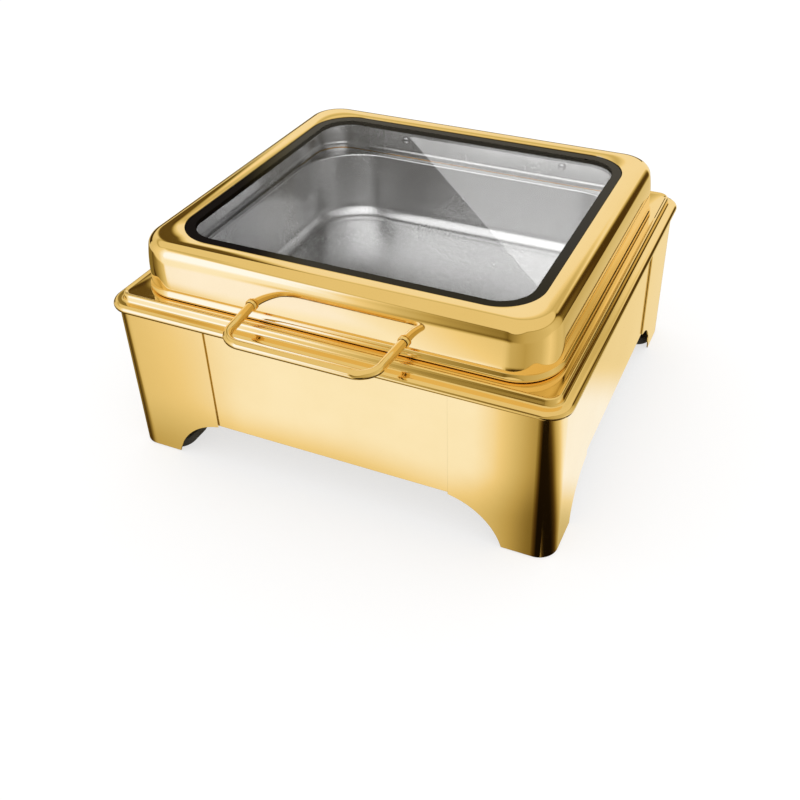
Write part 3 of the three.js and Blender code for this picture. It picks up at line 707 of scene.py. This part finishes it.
pane_mix = flow.node("ShaderNodeMixShader", None, {
    0: printed, 1: Flow(flow.tree, sheer.outputs[0]), 2: Flow(flow.tree, shader.outputs[0])})
flow.tree.links.new(pane_mix.outputs[0], flow.tree.nodes["Material Output"].inputs[0])
chamfer = 0.4 * MM
profile = held([(chamfer, glass_low.z), (0, glass_low.z + chamfer), (0, glass_high.z - chamfer),
                (chamfer, glass_high.z)])
rings = around(profile, glass_x, glass_y, glass_radius, window_middle)
rings = [(0, 0, 0, glass_low.z, 0, window_middle)] + rings + [(0, 0, 0, glass_high.z, 0, window_middle)]
piece("window_pane", ring_shell(rings, pane, steps=24), "lid", "window_glass", "lid_glass")

# Handle: a gold rod bent into a shallow U, whose two ends stand in small collars on the lid's
# front wall. A domed screw from inside the lid holds each end.
rod_radius, bend_radius = 4 * MM, 18 * MM
handle_low, handle_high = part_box("handle_bar")
root_x, front_x = 71 * MM, 67.5 * MM
root_z, front_z = 180.5 * MM, 179 * MM
root_y, front_rod_y = handle_high.y, handle_low.y + rod_radius + 0.05 * MM


def rod_points(corner_steps):
    """The rod's middle line: a leg, a bend, the front bar, a bend and the other leg."""
    line = [Vector((-root_x, root_y, root_z)), Vector((-front_x, front_rod_y, front_z)),
            Vector((front_x, front_rod_y, front_z)), Vector((root_x, root_y, root_z))]
    points = [line[0]]
    for before, at, after in zip(line, line[1:], line[2:]):
        start = at + (before - at).normalized() * bend_radius
        stop = at + (after - at).normalized() * bend_radius
        centre = start + (stop - at)
        turn = (start - centre).angle(stop - centre)
        for i in range(corner_steps + 1):
            share = i / corner_steps
            points.append(centre + ((start - centre) * math.sin((1 - share) * turn)
                                    + (stop - centre) * math.sin(share * turn)) / math.sin(turn))
    return points + [line[-1]]


def rod_tree():
    """Geometry Nodes for a round rod along the input curve, closed at both ends."""
    tree = bpy.data.node_groups.new("round_rod", "GeometryNodeTree")
    sockets = {"Path": ("INPUT", "NodeSocketGeometry"), "Radius": ("INPUT", "NodeSocketFloat"),
               "Sides": ("INPUT", "NodeSocketInt"), "Material": ("INPUT", "NodeSocketMaterial"),
               "Rod": ("OUTPUT", "NodeSocketGeometry")}
    keys = {}
    for label, (way, kind) in sockets.items():
        keys[label] = tree.interface.new_socket(label, in_out=way, socket_type=kind).identifier
    flow = Flow(tree)
    given = flow.node("NodeGroupInput")
    path, radius, sides, material = (Flow(tree, given.outputs[i]) for i in range(4))
    line = flow.take("GeometryNodeMeshToCurve", 0, None, {0: path})
    circle = flow.take("GeometryNodeCurvePrimitiveCircle", 0, None, {"Resolution": sides, "Radius": radius})
    rod = flow.take("GeometryNodeCurveToMesh", 0, None, {
        "Curve": line, "Profile Curve": circle, "Fill Caps": True})
    rod = flow.take("GeometryNodeSetShadeSmooth", 0, {"domain": "FACE"}, {
        "Geometry": rod, "Shade Smooth": True})
    bent = flow.take("GeometryNodeInputMeshEdgeAngle", "Unsigned Angle")
    rod = flow.take("GeometryNodeSetShadeSmooth", 0, {"domain": "EDGE"}, {
        "Geometry": rod, "Selection": bent > 1.0, "Shade Smooth": False})
    rod = flow.take("GeometryNodeRealizeInstances", 0, None, {"Geometry": rod})
    rod = flow.take("GeometryNodeSetMaterial", 0, None, {"Geometry": rod, "Material": material})
    leaving = flow.node("NodeGroupOutput")
    tree.links.new(rod.socket, leaving.inputs[0])
    return tree, keys


rod_nodes, rod_keys = rod_tree()
middle_line = rod_points(24)
path_mesh = bpy.data.meshes.new("rod_path")
path_mesh.from_pydata([tuple(p) for p in middle_line], [(i, i + 1) for i in range(len(middle_line) - 1)], [])
path = bpy.data.objects.new("rod_path", path_mesh)
bpy.context.scene.collection.objects.link(path)
rod = grown(path, rod_nodes, {
    rod_keys["Radius"]: rod_radius, rod_keys["Sides"]: 40, rod_keys["Material"]: gold})
piece("bent_handle", rod, "lid", "gold_steel", "handle_bar")


def turned(profile, material, steps=10, placed=None, crease=34):
    """A round piece turned about Z through (radius, height) points, then put in place."""
    rings = [(r, r, r, z, 0, 0) for r, z in profile]
    return ring_shell(rings, material, steps=steps, run_in=0.0, crease=crease, placed=placed)


lie_along_y = Matrix.Rotation(math.radians(90), 4, "X")        # the turned piece's top faces the front
for side_name in ("left", "right"):
    low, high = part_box(f"handle_collar_{side_name}")
    outer, bore = (high.x - low.x) / 2, rod_radius + 0.35 * MM
    length = high.y - low.y
    profile = [(bore, 0), (outer - 0.5 * MM, 0), (outer, 0.4 * MM), (outer, length * 0.45),
               (outer - 0.35 * MM, length * 0.7), (outer - 1.1 * MM, length - 0.2 * MM),
               (bore + 0.25 * MM, length), (bore, length - 0.2 * MM), (bore, 0)]
    seat = Matrix.Translation(((low.x + high.x) / 2, high.y, (low.z + high.z) / 2)) @ lie_along_y
    piece(f"turned_collar_{side_name}", turned(held(profile, 0.15 * MM, 0.8 * MM), gold, 12, seat), "lid",
          "gold_steel", f"handle_collar_{side_name}")

# Screws: bright domed heads on the satin liner. The front pair holds the handle, and the rear
# pair goes through the lid's wall into the hinge arms, where a hexagon nut closes each.
bright, flow, shader, place = finish("bright_steel")
marks = flow.take("ShaderNodeTexNoise", "Fac", None, {"Vector": place, "Scale": 180.0, "Detail": 4.0})
feed(flow, shader, Metallic=1.0, Roughness=0.14 + marks * 0.12, Base_Color=flow.take(
    "ShaderNodeMix", "Result", {"data_type": "RGBA"}, {
        "Factor": marks.ease(0.3, 0.7), "A": (.62, .62, .63, 1), "B": (.75, .75, .76, 1)}),
    Normal=flow.take("ShaderNodeBump", "Normal", None, {
        "Height": marks, "Strength": 0.12, "Distance": 0.0003}))
head, dome, shank = 4.5 * MM, 2.5 * MM, 2.2 * MM
for place_name, points_front in (("handle", True), ("hinge", False)):
    for side_name in ("left", "right"):
        low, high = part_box(f"{place_name}_screw_{side_name}")
        length = high.y - low.y - dome
        domed = [(0, dome)] + [(head * math.sin(a), dome * math.cos(a)) for a in (
            math.radians(9 * i) for i in range(1, 11))]
        profile = domed + [(head - 0.2 * MM, 0), (shank, 0), (shank, -length + 0.4 * MM),
                           (shank - 0.4 * MM, -length), (0, -length)]
        if points_front:
            turn = Matrix.Rotation(math.radians(-90), 4, "X")
            seat_y = high.y - dome
        else:
            turn = lie_along_y
            seat_y = low.y + dome
        seat = Matrix.Translation(((low.x + high.x) / 2, seat_y, (low.z + high.z) / 2)) @ turn
        piece(f"domed_screw_{place_name}_{side_name}", turned(profile, bright, 8, seat), "lid", "plain_steel",
              f"{place_name}_screw_{side_name}")

# Hinges: two bright steel knuckles on the deck behind the lid. A foot with two ears holds the
# pin, and the arm between the ears is bolted to the lid's rear wall.
def pressed_block(outline, first, last, material):
    """A block with a side view drawn as (y, z) points, from x = first to x = last."""
    count = len(outline)
    points = [(x, y, z) for x in (first, last) for y, z in outline]
    faces = [tuple(range(count))[::-1], tuple(range(count, 2 * count))]
    faces += [(i, (i + 1) % count, count + (i + 1) % count, count + i) for i in range(count)]
    mesh = bpy.data.meshes.new("block")
    mesh.from_pydata(points, [], faces)
    mesh.materials.append(material)
    if sum(f.area * (f.center @ f.normal) for f in mesh.polygons) < 0:
        mesh.flip_normals()
    made = bpy.data.objects.new("block", mesh)
    bpy.context.scene.collection.objects.link(made)
    return made


def arc(y, z, radius, first, last, steps):
    angles = [math.radians(first + (last - first) * i / steps) for i in range(steps + 1)]
    return [(y + radius * math.cos(a), z + radius * math.sin(a)) for a in angles]


def united(parts, edge, material):
    """The parts joined into one closed block with its sharp edges rounded, as a plain mesh."""
    first = parts[0]
    for other in parts[1:]:
        join = first.modifiers.new("join", "BOOLEAN")
        join.operation, join.solver, join.object = "UNION", "EXACT", other
    round_edge = first.modifiers.new("round_edge", "BEVEL")
    round_edge.width, round_edge.segments = edge, 2
    round_edge.limit_method, round_edge.angle_limit = "ANGLE", math.radians(40)
    depsgraph = bpy.context.evaluated_depsgraph_get()
    mesh = bpy.data.meshes.new_from_object(first.evaluated_get(depsgraph), depsgraph=depsgraph)
    for other in parts:
        bpy.data.objects.remove(other)
    shade(mesh)
    mesh.set_sharp_from_angle(angle=math.radians(35))
    return mesh


pin_low, pin_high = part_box("hinge_pin")
hinge_y, hinge_z = (pin_low.y + pin_high.y) / 2, (pin_low.z + pin_high.z) / 2
arm_half = 8 * MM
for side_name in ("left", "right"):
    low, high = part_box(f"hinge_base_{side_name}")
    middle = (low.x + high.x) / 2
    ear_radius = high.z - hinge_z
    ear_inner, ear_outer = arm_half + 0.3 * MM, arm_half + 5.3 * MM
    ear = [(low.y, low.z), (high.y, low.z), (high.y, low.z + 3 * MM)] + arc(
        hinge_y, hinge_z, ear_radius, 0, 180, 24) + [(low.y, low.z + 5 * MM)]
    foot_plate = [(low.y, low.z), (high.y, low.z), (high.y, low.z + 2 * MM), (low.y, low.z + 2 * MM)]
    parts = [pressed_block(foot_plate, low.x, high.x, bright)]
    for way in (-1, 1):
        reach = sorted((middle + way * ear_inner, middle + way * ear_outer))
        parts.append(pressed_block(ear, *reach, bright))
    piece(f"hinge_foot_{side_name}", united(parts, 0.4 * MM, bright), "body", "plain_steel",
          f"hinge_base_{side_name}")

    low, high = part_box(f"hinge_arm_{side_name}")
    knuckle = 6 * MM
    plate_back = low.y + 2 * MM
    link = [(low.y, low.z)] + arc(hinge_y, hinge_z, knuckle, -90, 90, 20) + [
        (hinge_y - knuckle, hinge_z + 2 * MM), (low.y, hinge_z + 1 * MM)]
    plate = [(low.y, low.z), (plate_back, low.z), (plate_back, high.z), (low.y, high.z)]
    parts = [pressed_block(plate, low.x, high.x, bright),
             pressed_block(link, middle - arm_half, middle + arm_half, bright)]
    piece(f"hinge_link_{side_name}", united(parts, 0.35 * MM, bright), "lid", "plain_steel",
          f"hinge_arm_{side_name}")

    low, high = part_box(f"hinge_nut_{side_name}")
    nut_radius, thick = (high.x - low.x) / 2, high.y - low.y
    hexagon = bpy.data.meshes.new("hexagon")
    rim_shift = 0.5 * MM
    corners = []
    for r, z in ((nut_radius - rim_shift, 0), (nut_radius, rim_shift), (nut_radius, thick - rim_shift),
                 (nut_radius - rim_shift, thick)):
        corners += [(r * math.cos(a), r * math.sin(a), z) for a in (math.radians(60 * i) for i in range(6))]
    faces = [tuple(range(6))[::-1], tuple(range(18, 24))]
    faces += [(k * 6 + i, k * 6 + (i + 1) % 6, k * 6 + 6 + (i + 1) % 6, k * 6 + 6 + i)
              for k in range(3) for i in range(6)]
    hexagon.from_pydata(corners, [], faces)
    hexagon.materials.append(bright)
    hexagon.transform(Matrix.Translation(((low.x + high.x) / 2, high.y, (low.z + high.z) / 2)) @ lie_along_y)
    piece(f"hexagon_nut_{side_name}", hexagon, "lid", "plain_steel", f"hinge_nut_{side_name}")

# Hinge pin, end caps and damper: the pin runs through both hinges and is closed by a cap at each
# end. Between the hinges it carries the black sleeve of the damper that lets the lid down slowly.
lie_along_x = Matrix.Rotation(math.radians(90), 4, "Y")


def lying(node, profile, material, body, slot, name, steps=10):
    low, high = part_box(node)
    seat = Matrix.Translation((low.x, hinge_y, hinge_z)) @ lie_along_x
    bar = turned(profile(high.x - low.x, (high.z - low.z) / 2), material, steps, seat)
    piece(name, bar, body, slot, node)


def plain_bar(length, radius, edge=0.4 * MM):
    return held([(0, 0), (radius - edge, 0), (radius, edge), (radius, length - edge), (radius - edge, length),
                 (0, length)], 0.3 * MM, 2 * MM)


lying("hinge_pin", plain_bar, bright, "body", "plain_steel", "long_hinge_pin", 8)
for side_name in ("left", "right"):
    lying(f"hinge_cap_{side_name}", lambda length, radius: plain_bar(length, radius, 0.8 * MM), bright,
          "body", "plain_steel", f"pin_cap_{side_name}", 8)

moulded, flow, shader, place = finish("black_moulded_sleeve")
pebble = flow.take("ShaderNodeTexNoise", "Fac", None, {"Vector": place, "Scale": 1100.0, "Detail": 2.0})
feed(flow, shader, Base_Color=(.014, .014, .015, 1), Roughness=0.42 + pebble * 0.12,
     Normal=flow.take("ShaderNodeBump", "Normal", None, {
         "Height": pebble, "Strength": 0.15, "Distance": 0.0002}))


def sleeve(length, radius):
    groove, lip = 0.6 * MM, 1 * MM
    bore = 3.4 * MM
    ribs = []
    for at in (8 * MM, length - 8 * MM):
        ribs += [(radius, at - 1.2 * MM), (radius - groove, at - 0.6 * MM), (radius - groove, at + 0.6 * MM),
                 (radius, at + 1.2 * MM)]
    return held([(bore, 0), (radius - lip, 0), (radius, lip)] + ribs
                + [(radius, length - lip), (radius - lip, length), (bore, length), (bore, 0)],
                0.3 * MM, 2 * MM)


lying("hinge_damper", sleeve, moulded, "body", "black_plastic", "damper_sleeve", 12)
